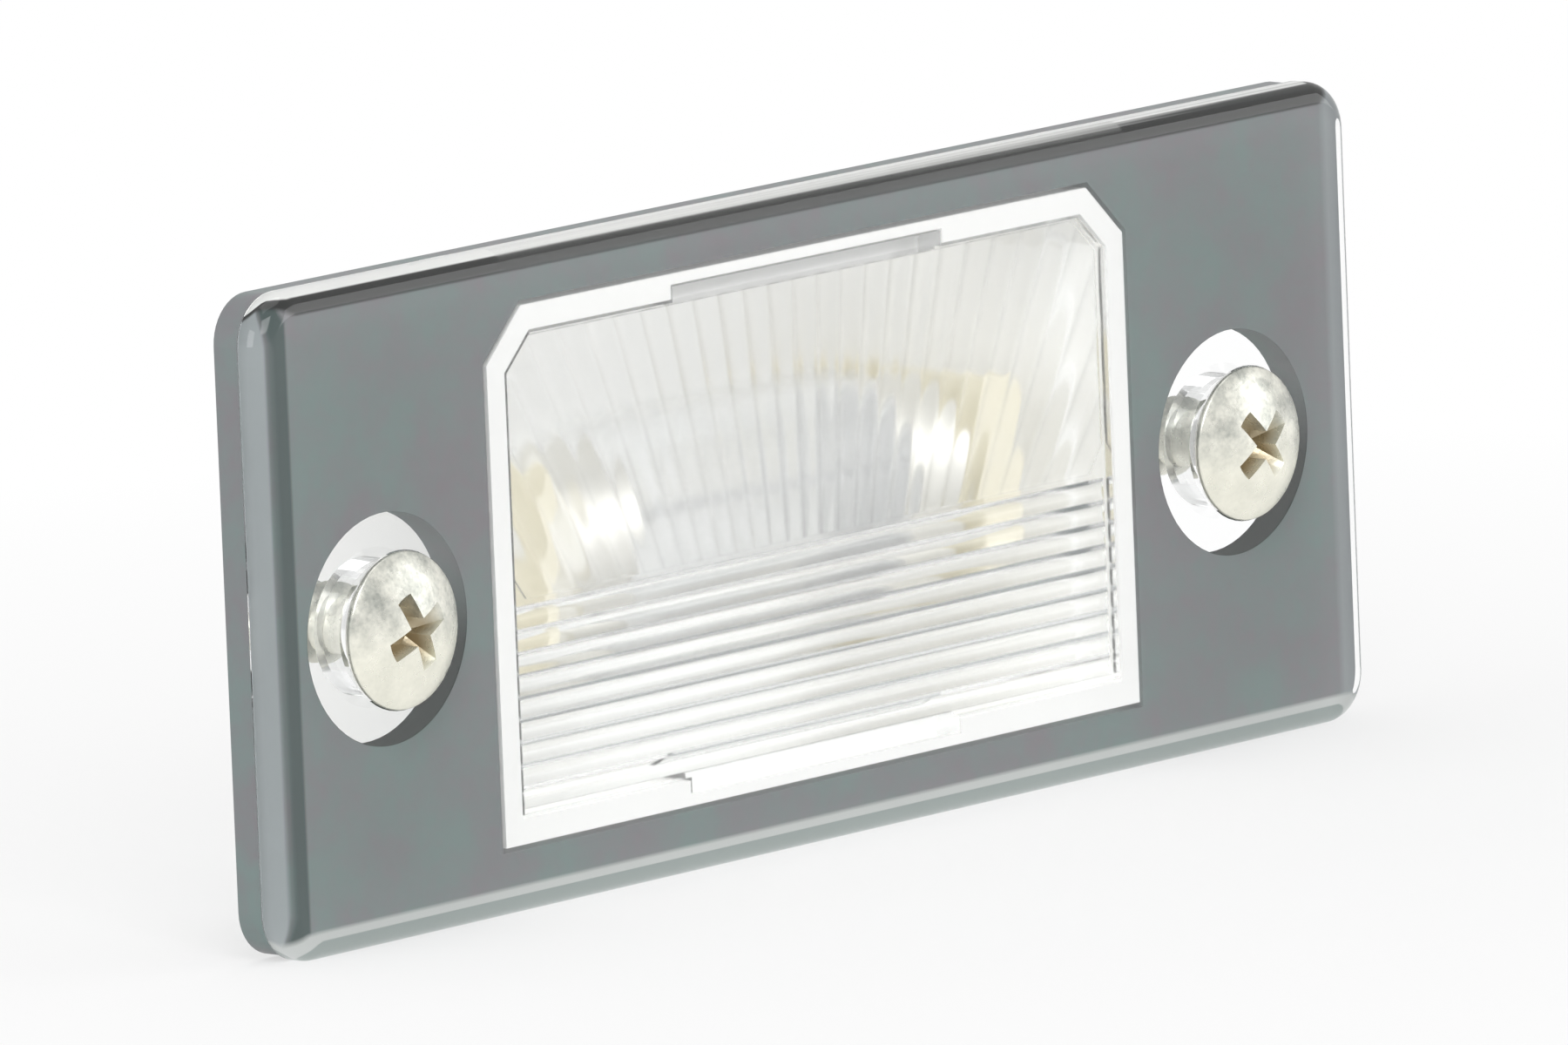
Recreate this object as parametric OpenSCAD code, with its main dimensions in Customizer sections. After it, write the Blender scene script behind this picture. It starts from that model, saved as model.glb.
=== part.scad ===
// Number plate lamp for a car, with its bulb, contacts, seal and fixing screws.
// The lens plate faces -Y, the car's panel is the plane Y = 0 and the housing reaches to +Y.
// X runs along the plate, +Z is up, and the origin lies midway between the two screws.

/* [Lens plate] */
// Thickness of the clear lens plate
plate_t = 1.6; // [1.4:0.1:2.4]
// Border of the plate above the housing
border_top = 2.9; // [2.4:0.1:5]
// Border of the plate below the housing
border_low = 3.1; // [2.4:0.1:5]
// Distance from a screw's ring in the seal to the end of the plate
end_web = 3.05; // [1.5:0.05:6]
// Radius of the plate's four corners, seen from the front
plate_corner_r = 2.4; // [1.6:0.1:3.2]
// Radius of the rounded front edge
plate_edge_r = 1; // [0.4:0.1:1.2]

/* [Screw seats] */
// Play between a screw head and its countersink
seat_play = 0.05; // [0.05:0.05:0.2]
// Wall of the clear boss that the screw passes through, behind the plate
boss_wall = 1; // [0.8:0.05:2]
// Width of the open ring between a boss and the seal
ring_room = 2.2; // [0.5:0.05:3]
// Distance from a screw's ring in the seal to the housing
ring_web = 2.05; // [1:0.05:4]
// Play between a screw's thread and its hole in the boss
hole_play = 0.3; // [0.25:0.05:0.5]

/* [Lens optics] */
// Height of the raised optic pad behind the plate
pad_t = 0.8; // [0.6:0.1:1]
// Play between the pad and the housing's rim, on each side
pad_play = 0.15; // [0.1:0.05:0.3]
// How far the line between the two optic fields lies below the housing's middle
crease_drop = 1.4; // [0:0.2:3]
// Number of bars in the upper field, which spread like a fan
fan_count = 29; // [15:2:35]
// How far the fan's centre lies below the housing's lower edge
fan_centre_drop = 15; // [10:1:20]
// Number of level bars in the lower field
level_count = 9; // [6:1:12]
// Height of the fan's bars at their tallest
fan_rise = 0.1; // [0.05:0.05:0.4]
// Height of the level bars
level_rise = 0.2; // [0.05:0.05:0.5]
// Plain margin between the bars and the edge of their pad
bar_margin = 0.2; // [0.1:0.05:0.5]
// Width of the groove between the two optic fields
crease_w = 0.3; // [0.1:0.05:0.5]

/* [Locating tongues] */
// Length of the lens's two tongues, above and below the pad
tongue_l = 19; // [14:0.5:24]
// Thickness of a tongue
tongue_t = 0.9; // [0.8:0.1:1.2]
// Play between a tongue and its pocket in the housing
tongue_play = 0.1; // [0.05:0.05:0.2]
// Wall left behind a pocket
pocket_wall = 0.5; // [0.4:0.05:0.7]

/* [Seal] */
// Thickness of the rubber seal
seal_t = 1.6; // [1.2:0.1:2.2]
// How far the seal stays inside the plate's outline
seal_inset = 0.15; // [0:0.05:0.5]
// Play between the seal and the housing
seal_play = 0.25; // [0.1:0.05:0.3]

/* [Housing] */
// Room at each end of the bulb for its contact and the housing's wall
contact_room = 7; // [5.6:0.1:10]
// Height of the housing
housing_h = 25.2; // [23:0.2:30]
// Air between the lens bars and the bulb
front_air = 0.8; // [0.5:0.1:3]
// Air between the bulb and the rear wall
rear_air = 1.3; // [0.8:0.05:4]
// How far the housing's middle lies above the screw line
housing_rise = 1.1; // [0:0.1:2]
// Thickness of the housing's walls
wall = 1.2; // [1:0.1:1.4]
// Leg of the cut across each upper corner
corner_cut = 2.5; // [1.5:0.1:4]
// Height of the thicker rim behind the panel plane
rim_h = 1.5; // [1:0.1:2.5]
// How far the body stands inside the rim
rim_step = 0.4; // [0.2:0.1:0.6]
// Inner radius of the edges round the rear wall
inner_r = 1.6; // [0.8:0.1:2.4]

/* [Socket] */
// Distance between the two plug blades
blade_pitch = 5.4; // [5.2:0.1:6]
// Width of a plug blade
blade_w = 2.8; // [2.4:0.1:3.2]
// Room beside each blade, inside the socket
blade_side_room = 2.9; // [2:0.1:4]
// Room above and below each blade, inside the socket
blade_head_room = 2; // [1.8:0.1:3]
// Depth of the plug socket
socket_depth = 9; // [8:0.5:12]
// How far the blades end inside the socket's mouth
blade_set_back = 2.5; // [1:0.5:4]
// Thickness of the socket's wall
socket_wall = 1.1; // [0.9:0.1:1.4]
// Width of the catch on top of the socket
catch_w = 4; // [2:0.5:6]
// Height of the catch
catch_h = 1.1; // [0.6:0.1:1.6]

/* [Contacts] */
// Thickness of the brass strip
strip_t = 0.5; // [0.4:0.05:0.6]
// Width of the brass strip along the rear wall
strip_w = 3.6; // [3.4:0.1:5]
// How much narrower the leaf that holds the bulb is than the bulb's cap
leaf_trim = 0.5; // [0:0.1:3]
// Length of the straight part of the leaf
leaf_l = 7; // [5:0.5:7.5]
// How far the leaf's free end is bent outwards
leaf_flare = 1.2; // [0.6:0.1:1.6]
// Diameter of the hole that takes the end of the bulb
bulb_hole_d = 3.4; // [3:0.1:3.8]
// Play round the blades and beside the strips
strip_play = 0.1; // [0.05:0.05:0.2]
// Height of the guide ribs beside the strips
guide_h = 1; // [0.6:0.1:1.2]
// Thickness of the guide ribs
guide_t = 0.9; // [0.7:0.1:1.2]

/* [Bulb] */
// Length of the festoon bulb over its two ends
bulb_l = 31; // [28:0.5:42]
// Diameter of the glass tube
glass_d = 10.3; // [9.6:0.1:12]
// Thickness of the glass
glass_t = 0.5; // [0.4:0.05:0.7]
// Diameter of the end caps
cap_d = 8.5; // [8:0.1:8.8]
// Wall of an end cap
cap_t = 0.4; // [0.3:0.05:0.5]
// Length of the straight part of an end cap
cap_l = 3.6; // [3:0.1:4.2]
// Length of the cone at the end of a cap
cone_l = 2; // [1.6:0.1:2.4]
// Length of the lit coil
coil_l = 9; // [6:0.5:11]
// Diameter of the lit coil
coil_d = 0.6; // [0.4:0.1:1]
// Diameter of a lead wire
lead_d = 0.4; // [0.3:0.05:0.6]

/* [Screws] */
// Diameter of the screw head
head_d = 7.4; // [6.8:0.1:8.4]
// Height of the head's straight rim, above the plate
head_rim = 0.2; // [0.1:0.05:0.5]
// Height of the dome above the rim
dome_h = 1.1; // [0.8:0.1:1.6]
// Width across the cross recess
cross_w = 4.2; // [3.6:0.1:4.6]
// Depth of the cross recess
cross_depth = 1.7; // [1.3:0.1:1.9]
// Width of the recess's four slots
cross_slot = 0.95; // [0.7:0.05:1.2]
// How far the cross of the left screw is turned
cross_turn_left = 25; // [0:5:85]
// How far the cross of the right screw is turned
cross_turn_right = 40; // [0:5:85]
// Outer diameter of the thread
thread_d = 3.9; // [3.5:0.1:4.8]
// How far the plain neck stays inside the thread
neck_step = 0.45; // [0.3:0.05:0.6]
// Length of the screw from the plate's front face to its tip
screw_l = 9.5; // [9:0.5:19]
// Length of the screw's point
point_l = 2.4; // [2:0.1:3]

/* [Hidden] */

$fn = 96;
// Overlap of a joined solid past the face that it meets
eps = 0.3;
// How far a cutting solid reaches past the part
past = 1;
// Straight steps in the curve of one lens bar
bar_steps = 6;
// How far the grooves between the bars stand above the pad
bar_foot = 0.1;
// Width of the plain sides beside the fan at its foot
fan_side = 1;
// Play at the faces that a bulb's maker solders or cements
solder_play = 0.02;
cement_play = 0.05;
// Room between the end of the glass and the inside of its cap
cap_room = 0.5;
// Length of the glass tube's rounded shoulder
shoulder_l = 1.9;
// Radius of the flat end of a cap
tip_r = 1.2;
// Play between the end of a tongue and the floor of its pocket
tongue_end_play = 0.2;
// How far a contact's foot reaches past its leaf, and the height of the bend there
foot_out = 1;
foot_bend = 0.5;
// Length of a contact's wide foot on the rear wall
foot_l = 2.5;
// Length of the tab that joins a plug blade to its contact
blade_tab = 6;
// Diameter of the blunt tip of a screw
point_d = 0.4;
// Width of the cross recess against its width at the bottom
cross_taper = 2.6;
// Inner corner radius of the plug socket
socket_corner_r = 0.6;
// Thickness, width and length of the gusset at each side of the socket
gusset_t = 1;
gusset_w = 2.6;
gusset_l = 5;

// Along the length: the bulb sets the housing, and the housing sets the screws and the plate
housing_l = bulb_l + 2 * contact_room;
screw_hole_d = thread_d + 2 * hole_play;
boss_d = screw_hole_d + 2 * boss_wall;
ring_d = boss_d + 2 * ring_room;
screw_pitch = housing_l + ring_d + 2 * ring_web;
plate_l = screw_pitch + ring_d + 2 * end_web;

// Up the height: the borders go round the housing
plate_h = border_top + housing_h + border_low;
plate_rise = housing_rise + (border_top - border_low) / 2;

// Along the depth, positive towards the viewer, with the car's panel at 0
plate_front = seal_t + plate_t;
screw_tip = plate_front - screw_l;
pad_back = seal_t - pad_t;
bar_root = pad_back - bar_foot;
bulb_level = bar_root - max(fan_rise, level_rise) - front_air - glass_d / 2;
rear_inside = bulb_level - glass_d / 2 - rear_air;
rear_outside = rear_inside - wall;
strip_mid = rear_inside + strip_t / 2;
socket_mouth = rear_outside - socket_depth;

// Half sizes and places of the optic pad and its bars
pad_inset = wall + pad_play;
bars_half_l = housing_l / 2 - pad_inset - bar_margin;
bars_low = housing_rise - housing_h / 2 + pad_inset + bar_margin;
bars_high = housing_rise + housing_h / 2 - pad_inset - bar_margin;
crease = housing_rise - crease_drop;
fan_centre = housing_rise - housing_h / 2 - fan_centre_drop;

// Inside of the plug socket
socket_w = blade_pitch + 2 * blade_side_room;
socket_h = blade_w + 2 * blade_head_room;

// The screw head's cone and its countersink, which both have sides at 45 degrees
neck_d = thread_d - 2 * neck_step;
seat_d = head_d + 2 * seat_play;
seat_depth = (seat_d - screw_hole_d) / 2;

// Places along the bulb, counted from its middle
cap_inside = bulb_l / 2 - cone_l;
cap_start = cap_inside - cap_l;
glass_end = cap_inside - cap_room;
neck_r = cap_d / 2 - cap_t - cement_play;

// The leaf's face lies where the bulb's cone meets the rim of its hole
leaf_face = bulb_l / 2 - cone_l * (bulb_hole_d / 2 - tip_r) / (cap_d / 2 - tip_r) + solder_play;
leaf_mid = leaf_face + strip_t / 2;
leaf_w = cap_d - leaf_trim;
foot_x = leaf_mid + foot_out;
foot_start = foot_x - foot_l;

// Stands the drawing up, so that its depth direction points to -Y and its height to +Z
module upright() {
    rotate([90, 0, 0]) children();
}

// Extrudes an outline drawn in (height, depth) along the length
module along_length(size) {
    rotate([90, 0, 90]) linear_extrude(size, center = true) children();
}

// Extrudes an outline drawn in (length, depth) along the height
module along_height(size) {
    rotate([90, 0, 0]) linear_extrude(size, center = true) children();
}

// Turns a solid made round Z so that it lies along the length
module lengthwise() {
    rotate([0, 90, 0]) children();
}

// Does the same thing at the left and at the right screw
module at_screws() {
    for (side = [-1, 1]) translate([side * screw_pitch / 2, 0, 0]) children();
}

// Outline of a slab seen from one edge, with its two front corners rounded
module edge_outline(size, t, edge) {
    translate([-size / 2, 0]) square([size, t - edge]);
    translate([edge - size / 2, 0]) square([size - 2 * edge, t]);
    for (side = [0, 1]) mirror([side, 0]) translate([size / 2 - edge, t - edge]) quarter_disc(edge);
}

module quarter_disc(r) {
    intersection() {
        circle(r);
        square(r);
    }
}

// Slab from depth 0 to t, with rounded corners and a rounded front edge all round
module soft_edged_slab(l, h, t, corner, edge) {
    along_length(l - 2 * corner) edge_outline(h, t, edge);
    along_height(h - 2 * corner) edge_outline(l, t, edge);
    for (quarter = [0 : 3]) {
        side_x = (quarter == 0 || quarter == 3) ? 1 : -1;
        side_y = quarter < 2 ? 1 : -1;
        translate([side_x * (l / 2 - corner), side_y * (h / 2 - corner), 0])
            rotate(90 * quarter) rotate_extrude(angle = 90) {
                square([corner, t - edge]);
                square([corner - edge, t]);
                translate([corner - edge, t - edge]) quarter_disc(edge);
            }
    }
}

// Rectangle with round corners
module round_rect(l, h, r) {
    square([l - 2 * r, h], center = true);
    square([l, h - 2 * r], center = true);
    for (x = [-1, 1], y = [-1, 1]) translate([x * (l / 2 - r), y * (h / 2 - r)]) circle(r);
}

// Leg of the corner cut on an outline moved inwards by inset
function cut_leg(inset) = corner_cut - inset * (2 - sqrt(2));

// Front outline of the housing with its two upper corners cut off, moved inwards by inset
module housing_outline(inset) {
    half_l = housing_l / 2 - inset;
    half_h = housing_h / 2 - inset;
    cut = cut_leg(inset);
    translate([0, housing_rise]) polygon([
        [-half_l, -half_h], [half_l, -half_h],
        [half_l, half_h - cut], [half_l - cut, half_h],
        [cut - half_l, half_h], [-half_l, half_h - cut]
    ]);
}

// Outline with a flat front at depth top and two round corners at depth low
module rear_rounded(size, low, top, r) {
    translate([-size / 2, low + r]) square([size, top - low - r]);
    translate([r - size / 2, low]) square([size - 2 * r, top - low]);
    for (side = [-1, 1]) translate([side * (size / 2 - r), low + r]) circle(r);
}

// Boxy form of the housing's body, rounded at the rear, moved inwards by inset
module body_form(inset, rear, top) {
    r = inner_r + wall + rim_step - inset;
    intersection() {
        translate([0, 0, rear - past]) linear_extrude(top - rear + past) housing_outline(inset);
        translate([0, housing_rise, 0]) along_length(housing_l)
            rear_rounded(housing_h - 2 * inset, rear, top, r);
        along_height(2 * housing_h) rear_rounded(housing_l - 2 * inset, rear, top, r);
    }
}

// Height of a lens bar's curve at step i, from 0 in the groove to 1 on the crest
function bar_curve(i) = sin(180 * (i % bar_steps) / bar_steps);

// Distance from the fan's centre to the edge of the optic field, along a ray at angle a from upright
function fan_reach(a) =
    let (top = bars_high - fan_centre, across = max(sin(abs(a)), 0.01))
    let (cut = cut_leg(pad_inset + bar_margin))
    min(top / cos(a), bars_half_l / across, (top + bars_half_l - cut) / (cos(a) + across));

// Upper optic field: bars that spread from one centre and grow with their distance from it
module fan_bars() {
    near = crease + crease_w / 2 - fan_centre;
    slope = fan_rise / (bars_high - fan_centre);
    half_angle = atan((bars_half_l - fan_side) / near);
    last = fan_count * bar_steps;
    turn = [for (i = [0 : last]) half_angle * (2 * i / last - 1)];
    inner = [for (a = turn) near / cos(a)];
    outer = [for (a = turn) fan_reach(a)];
    top = pad_back + eps;
    points = concat(
        [for (i = [0 : last]) fan_point(turn[i], inner[i], top)],
        [for (i = [0 : last]) fan_point(turn[i], outer[i], top)],
        [for (i = [0 : last]) fan_point(turn[i], outer[i], bar_level(i, slope * outer[i] * cos(turn[i])))],
        [for (i = [0 : last]) fan_point(turn[i], inner[i], bar_level(i, slope * near))]
    );
    row = last + 1;
    bands = [for (k = [0 : 3], i = [0 : last - 1]) [
        ((k + 1) % 4) * row + i, ((k + 1) % 4) * row + i + 1, k * row + i + 1, k * row + i
    ]];
    ends = [[3 * row, 2 * row, row, 0], [last, row + last, 2 * row + last, 3 * row + last]];
    polyhedron(points, concat(bands, ends));
}

// Point at a distance from the fan's centre, along a ray at angle a from upright
function fan_point(a, distance, level) = [distance * sin(a), fan_centre + distance * cos(a), level];

// Level of a lens bar's surface at step i, where rise is the height of its crest
function bar_level(i, rise) = bar_root - rise * bar_curve(i);

// Lower optic field: level bars, one above the other
module level_bars() {
    pitch = (crease - crease_w / 2 - bars_low) / level_count;
    last = level_count * bar_steps;
    along_length(2 * bars_half_l) polygon(concat(
        [[bars_low + last * pitch / bar_steps, pad_back + eps], [bars_low, pad_back + eps]],
        [for (i = [0 : last]) [bars_low + i * pitch / bar_steps, bar_level(i, level_rise)]]
    ));
}

// Raised pad that locates the housing and carries the two optic fields
module optic_pad() {
    translate([0, 0, pad_back]) linear_extrude(pad_t + eps) housing_outline(pad_inset);
    level_bars();
    fan_bars();
}

// Block along the upper and the lower wall, from distance out to distance in inside the outline
module along_walls(l, out, in, low, high) {
    for (side = [0, 1]) translate([0, housing_rise, 0]) mirror([0, side, 0])
        translate([-l / 2, housing_h / 2 - in, low]) cube([l, in - out, high - low]);
}

// Clear lens plate with its rounded edge, optic pad, locating tongues and two screw bosses
module lens() {
    tongue_out = pocket_wall + tongue_play;
    color([0.82, 0.86, 0.86, 0.45]) upright() difference() {
        union() {
            translate([0, plate_rise, seal_t])
                soft_edged_slab(plate_l, plate_h, plate_t, plate_corner_r, plate_edge_r);
            at_screws() cylinder(d = boss_d, h = seal_t + eps);
            optic_pad();
            along_walls(tongue_l, tongue_out, tongue_out + tongue_t, tongue_end_play - rim_h, seal_t + eps);
        }
        at_screws() translate([0, 0, plate_front - seat_depth])
            cylinder(d1 = screw_hole_d, d2 = seat_d + 2 * past, h = seat_depth + past);
        at_screws() translate([0, 0, -past]) cylinder(d = screw_hole_d, h = plate_front + 2 * past);
    }
}

// Rubber seal between the lens plate and the car's panel
module seal() {
    color([0.35, 0.37, 0.37]) upright() difference() {
        translate([0, plate_rise, 0]) linear_extrude(seal_t)
            round_rect(plate_l - 2 * seal_inset, plate_h - 2 * seal_inset, plate_corner_r - seal_inset);
        translate([0, 0, -past]) linear_extrude(seal_t + 2 * past) housing_outline(-seal_play);
        at_screws() translate([0, 0, -past]) cylinder(d = ring_d, h = seal_t + 2 * past);
    }
}

// White housing with its rim, tongue pockets, contact guides and plug socket
module housing() {
    slot_t = strip_t + 2 * strip_play;
    slot_w = blade_w + 2 * strip_play;
    color([0.93, 0.93, 0.91]) upright() difference() {
        union() {
            difference() {
                union() {
                    body_form(rim_step, rear_outside, 0);
                    translate([0, 0, -rim_h]) linear_extrude(rim_h + seal_t) housing_outline(0);
                }
                body_form(rim_step + wall, rear_inside, seal_t + past);
                translate([0, 0, -rim_h]) linear_extrude(rim_h + seal_t + past) housing_outline(wall);
            }
            contact_guides();
            socket_shell();
        }
        along_walls(tongue_l + 2 * tongue_play, pocket_wall, wall + past, -rim_h, seal_t + past);
        translate([0, housing_rise, socket_mouth - past]) linear_extrude(socket_depth + past)
            round_rect(socket_w, socket_h, socket_corner_r);
        for (side = [-1, 1]) translate([side * blade_pitch / 2, housing_rise, rear_outside])
            cube([slot_t, slot_w, 4 * wall], center = true);
    }
}

// Low ribs above and below each contact strip, inside the rear wall
module contact_guides() {
    guide_l = foot_start - strip_play - blade_pitch / 2;
    for (side = [-1, 1], level = [-1, 1])
        translate([
            side * (blade_pitch / 2 + guide_l / 2),
            housing_rise + level * (strip_w / 2 + strip_play + guide_t / 2),
            rear_inside + guide_h / 2 - eps / 2
        ]) cube([guide_l, guide_t, guide_h + eps], center = true);
}

// Outer shell of the plug socket with its catch, and a gusset at each side
module socket_shell() {
    outer_w = socket_w + 2 * socket_wall;
    outer_h = socket_h + 2 * socket_wall;
    translate([0, housing_rise, 0]) {
        translate([0, 0, socket_mouth]) linear_extrude(socket_depth + eps)
            round_rect(outer_w, outer_h, socket_wall);
        translate([0, outer_h / 2, socket_mouth + socket_wall]) along_length(catch_w) polygon([
            [-eps, 0], [-eps, 3 * catch_h], [catch_h, 3 * catch_h], [catch_h, 2 * catch_h]
        ]);
        for (side = [0, 1]) mirror([side, 0]) translate([outer_w / 2, 0, rear_outside])
            along_height(gusset_t) polygon([
                [-eps, eps], [gusset_w, eps], [gusset_w, 0], [0, -gusset_l], [-eps, -gusset_l]
            ]);
    }
}

// Unit vector along a path from point i to the next
function heading(path, i) = (path[i + 1] - path[i]) / norm(path[i + 1] - path[i]);

// Point i of a path moved sideways, mitred where the path bends
function side_point(path, i, off) =
    let (last = len(path) - 1)
    let (a = heading(path, max(i - 1, 0)), b = heading(path, min(i, last - 1)))
    let (na = [-a[1], a[0]], nb = [-b[1], b[0]])
    path[i] + off * (na + nb) / (1 + na * nb);

// Outline of a folded strip of thickness t along a path
module folded_strip(path, t) {
    last = len(path) - 1;
    polygon(concat(
        [for (i = [0 : last]) side_point(path, i, t / 2)],
        [for (i = [last : -1 : 0]) side_point(path, i, -t / 2)]
    ));
}

// One brass contact for the right end of the bulb: plug blade, strip, foot and spring leaf
module contact() {
    blade_x = blade_pitch / 2;
    leaf_low = bulb_level - leaf_l / 2;
    leaf_high = bulb_level + leaf_l / 2;
    along_height(blade_w) folded_strip([
        [blade_x, socket_mouth + blade_set_back], [blade_x, strip_mid], [blade_x + blade_tab, strip_mid]
    ], strip_t);
    along_height(strip_w) folded_strip([[blade_x + strip_t, strip_mid], [foot_x, strip_mid]], strip_t);
    difference() {
        along_height(leaf_w) folded_strip([
            [foot_start, strip_mid], [foot_x, strip_mid],
            [foot_x + foot_bend, strip_mid + 2 * foot_bend],
            [leaf_mid, leaf_low], [leaf_mid, leaf_high],
            [leaf_mid + leaf_flare, leaf_high + leaf_flare]
        ], strip_t);
        translate([leaf_mid, 0, bulb_level]) lengthwise()
            cylinder(d = bulb_hole_d, h = 4 * strip_t, center = true);
    }
}

module contact_left() {
    color([0.80, 0.66, 0.33]) upright() translate([0, housing_rise, 0]) mirror([1, 0, 0]) contact();
}

module contact_right() {
    color([0.80, 0.66, 0.33]) upright() translate([0, housing_rise, 0]) contact();
}

// Puts what is made round Z on the bulb's axis
module on_bulb_axis() {
    upright() translate([0, housing_rise, bulb_level]) lengthwise() children();
}

// One half of the glass tube's outline, from the middle to its end, less a wall of inset
function glass_side(inset) = concat(
    [for (a = [0 : 15 : 90]) [
        neck_r - inset + (glass_d / 2 - neck_r) * cos(a),
        cap_start - shoulder_l + shoulder_l * sin(a)
    ]],
    [[neck_r - inset, glass_end - inset]]
);

// Clear tube of the bulb with a small hole for the lead wire at each end
module bulb_glass() {
    hole = lead_d / 2 + solder_play;
    outer = glass_side(0);
    inner = glass_side(glass_t);
    back = len(outer) - 1;
    color([0.9, 0.95, 0.97, 0.3]) on_bulb_axis() rotate_extrude() polygon(concat(
        outer,
        [[hole, glass_end], [hole, glass_end - glass_t]],
        [for (i = [back : -1 : 0]) inner[i]],
        [for (i = [0 : back]) [inner[i][0], -inner[i][1]]],
        [[hole, glass_t - glass_end], [hole, -glass_end]],
        [for (i = [back : -1 : 0]) [outer[i][0], -outer[i][1]]]
    ));
}

// Plated end cap of the bulb, towards +Z
module bulb_cap() {
    rotate_extrude() polygon([
        [cap_d / 2 - cap_t, cap_start], [cap_d / 2, cap_start], [cap_d / 2, cap_inside],
        [tip_r, bulb_l / 2], [0, bulb_l / 2], [0, cap_inside], [cap_d / 2 - cap_t, cap_inside]
    ]);
}

module bulb_cap_left() {
    color([0.78, 0.78, 0.76]) on_bulb_axis() mirror([0, 0, 1]) bulb_cap();
}

module bulb_cap_right() {
    color([0.78, 0.78, 0.76]) on_bulb_axis() bulb_cap();
}

// Lit coil between the two lead wires
module bulb_filament() {
    color([0.35, 0.35, 0.37]) on_bulb_axis() cylinder(d = coil_d, h = coil_l, center = true);
}

// Lead wire from the coil to the inside of a cap, towards +Z
module bulb_lead() {
    translate([0, 0, coil_l / 2]) cylinder(d = lead_d, h = cap_inside - coil_l / 2);
}

module bulb_lead_left() {
    color([0.6, 0.6, 0.6]) on_bulb_axis() mirror([0, 0, 1]) bulb_lead();
}

module bulb_lead_right() {
    color([0.6, 0.6, 0.6]) on_bulb_axis() bulb_lead();
}

// Raised countersunk tapping screw with a cross recess, seated in the lens
module screw() {
    dome_r = (pow(head_d / 2, 2) + pow(dome_h, 2)) / (2 * dome_h);
    top = plate_front + head_rim + dome_h;
    cone_h = (head_d - neck_d) / 2;
    difference() {
        union() {
            intersection() {
                translate([0, 0, plate_front]) cylinder(d = head_d, h = head_rim + dome_h);
                translate([0, 0, top - dome_r]) sphere(dome_r);
            }
            translate([0, 0, plate_front - cone_h]) cylinder(d1 = neck_d, d2 = head_d, h = cone_h);
        }
        cross_recess(top);
    }
    translate([0, 0, -eps]) cylinder(d = neck_d, h = plate_front - cone_h + 2 * eps);
    translate([0, 0, screw_tip + point_l]) cylinder(d = thread_d, h = -screw_tip - point_l);
    translate([0, 0, screw_tip]) cylinder(d1 = point_d, d2 = thread_d, h = point_l);
}

// Cross-shaped driver recess that narrows downwards
module cross_recess(top) {
    intersection() {
        translate([0, 0, top - cross_depth])
            cylinder(d1 = cross_w / cross_taper, d2 = cross_w, h = cross_depth + solder_play);
        union() {
            translate([0, 0, top]) cube([2 * cross_w, cross_slot, 3 * cross_depth], center = true);
            translate([0, 0, top]) cube([cross_slot, 2 * cross_w, 3 * cross_depth], center = true);
        }
    }
}

module screw_left() {
    color([0.86, 0.84, 0.72]) upright() translate([-screw_pitch / 2, 0, 0]) rotate(cross_turn_left) screw();
}

module screw_right() {
    color([0.86, 0.84, 0.72]) upright() translate([screw_pitch / 2, 0, 0]) rotate(cross_turn_right) screw();
}

lens();
seal();
housing();
bulb_glass();
bulb_cap_left();
bulb_cap_right();
bulb_filament();
bulb_lead_left();
bulb_lead_right();
contact_left();
contact_right();
screw_left();
screw_right();
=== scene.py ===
"""Looks of a car's number plate lamp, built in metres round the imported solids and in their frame.

X runs along the lens plate, -Y is its front and +Z is up. The clear lens lies on a grey seal, and the
white housing behind it holds a festoon bulb between two brass contacts.
"""

import logging
import math
from dataclasses import dataclass, field
from enum import Enum
from typing import Callable

import bmesh
import bpy
from mathutils import Matrix, Vector


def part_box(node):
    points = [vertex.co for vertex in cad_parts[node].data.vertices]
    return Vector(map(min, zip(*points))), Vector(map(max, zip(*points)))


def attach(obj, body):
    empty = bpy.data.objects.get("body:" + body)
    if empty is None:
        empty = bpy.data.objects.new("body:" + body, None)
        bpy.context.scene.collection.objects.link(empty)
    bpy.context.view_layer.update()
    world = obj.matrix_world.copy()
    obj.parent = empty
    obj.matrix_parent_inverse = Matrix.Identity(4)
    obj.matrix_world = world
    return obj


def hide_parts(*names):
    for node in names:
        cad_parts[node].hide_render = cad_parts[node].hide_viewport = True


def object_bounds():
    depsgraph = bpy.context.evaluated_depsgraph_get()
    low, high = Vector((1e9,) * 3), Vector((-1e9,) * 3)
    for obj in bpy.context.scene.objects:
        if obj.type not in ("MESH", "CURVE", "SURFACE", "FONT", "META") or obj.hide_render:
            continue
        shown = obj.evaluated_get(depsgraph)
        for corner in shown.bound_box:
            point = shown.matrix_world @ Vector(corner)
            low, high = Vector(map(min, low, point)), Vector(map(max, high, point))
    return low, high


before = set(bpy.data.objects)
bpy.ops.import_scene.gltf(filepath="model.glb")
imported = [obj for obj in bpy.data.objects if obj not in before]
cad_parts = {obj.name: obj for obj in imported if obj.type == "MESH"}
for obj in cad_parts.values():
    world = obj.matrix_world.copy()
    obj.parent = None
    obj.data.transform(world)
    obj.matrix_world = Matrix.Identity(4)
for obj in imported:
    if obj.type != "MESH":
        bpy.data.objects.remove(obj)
CAD_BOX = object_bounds()

Colour = tuple[float, float, float]
Triple = tuple[float, float, float]
LOG = logging.getLogger("number_plate_lamp")
MM = 0.001
MERGE_DISTANCE = 1e-7

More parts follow.
